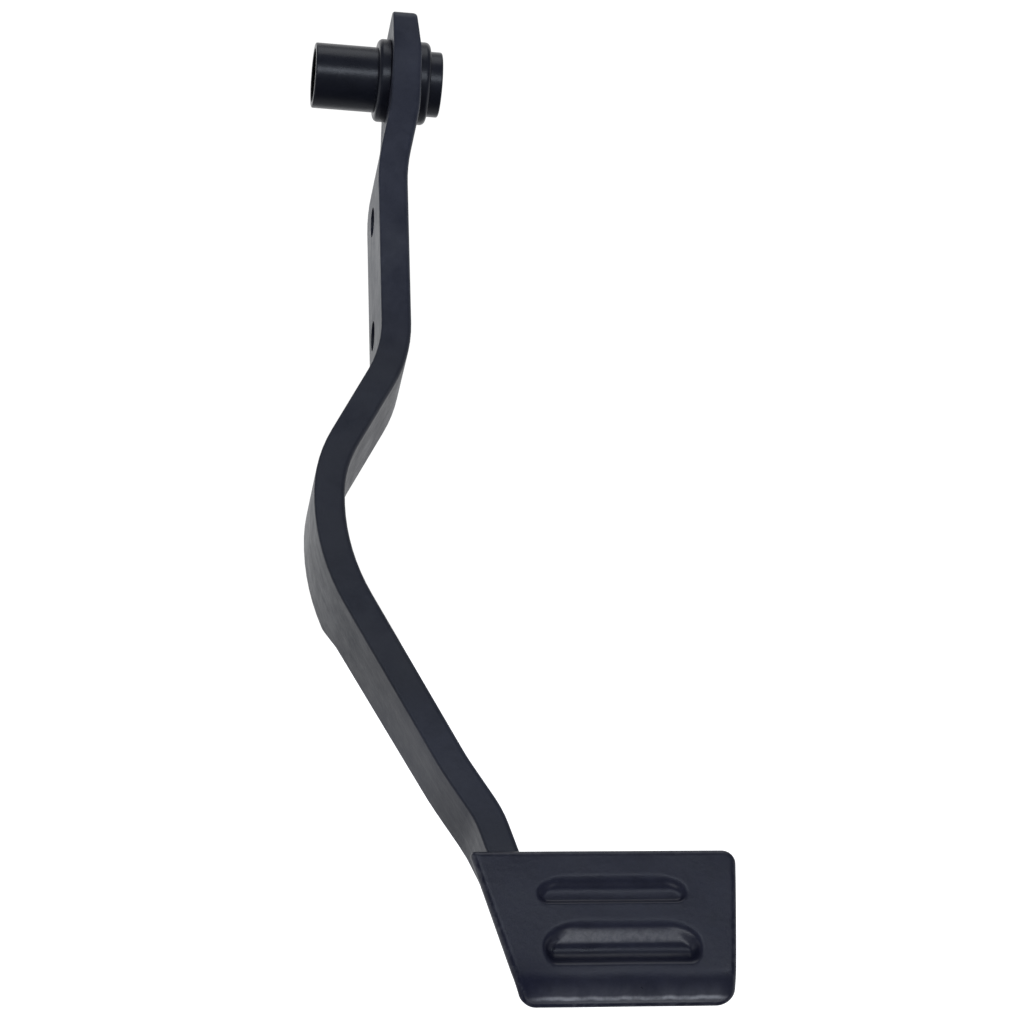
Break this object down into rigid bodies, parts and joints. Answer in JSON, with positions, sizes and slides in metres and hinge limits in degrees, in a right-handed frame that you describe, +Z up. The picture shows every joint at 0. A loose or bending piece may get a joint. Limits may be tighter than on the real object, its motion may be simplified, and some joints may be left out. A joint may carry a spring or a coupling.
{
  "type": "brake pedal",
  "caption": "Hanging brake pedal: a flat steel bar bent sideways, with a collared pivot tube across its top and a pressed, grooved steel foot pad welded to its lower front edge.",
  "frame": {"origin": "on the pivot axis, in the middle of the bar's thickness", "axes": "+X to the right along the pivot tube, +Y forward away from the driver, +Z up, with the pedal hanging as it does in a car"},
  "size_m": [0.1343, 0.1929, 0.315],
  "materials": {
    "arm_paint": "satin black paint",
    "tube_paint": "semi-gloss black paint",
    "pad_paint": "satin black paint",
    "weld_paint": "satin black paint over weld bead"
  },
  "bodies": {
    "root": {"pedal_arm": "arm_paint", "pivot_tube": "tube_paint", "pad_plate": "pad_paint", "pad_weld_left": "weld_paint", "pad_weld_right": "weld_paint"}
  },
  "joints": []
}
